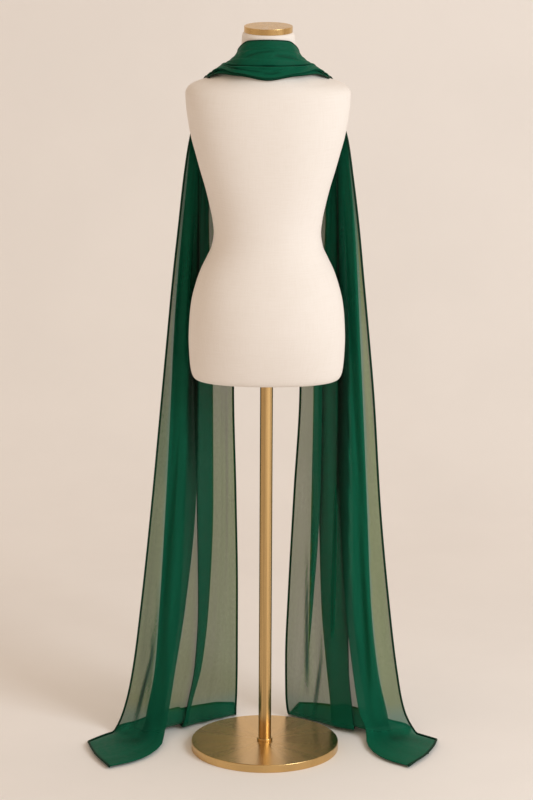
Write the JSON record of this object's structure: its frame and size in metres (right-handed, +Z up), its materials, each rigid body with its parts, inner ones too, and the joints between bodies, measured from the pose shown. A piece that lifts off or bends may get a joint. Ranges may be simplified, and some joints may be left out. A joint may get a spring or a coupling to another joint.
{
  "type": "chiffon scarf draped on a limbless dress form with a stand",
  "caption": "Long sheer emerald scarf laid round the nape of a limbless dress form, its pleated tails hanging in front to short trains on the floor.",
  "frame": {"origin": "centre of the round base plate's underside, on the floor", "axes": "+Z up along the pole, +Y out of the form's chest, so the form's back faces -Y and +X is its own right-hand side"},
  "size_m": [0.7872, 0.457, 1.638],
  "materials": {
    "chiffon": "sheer plain-weave chiffon, soft matt",
    "linen": "fine cream linen cover, matt",
    "brass": "satin brushed brass"
  },
  "bodies": {
    "root": {"scarf_nape": "chiffon", "scarf_left_tail": "chiffon", "scarf_right_tail": "chiffon", "form_torso": "linen", "neck_cap": "brass", "pole": "brass", "pole_collar": "brass", "base_plate": "brass"}
  },
  "joints": []
}
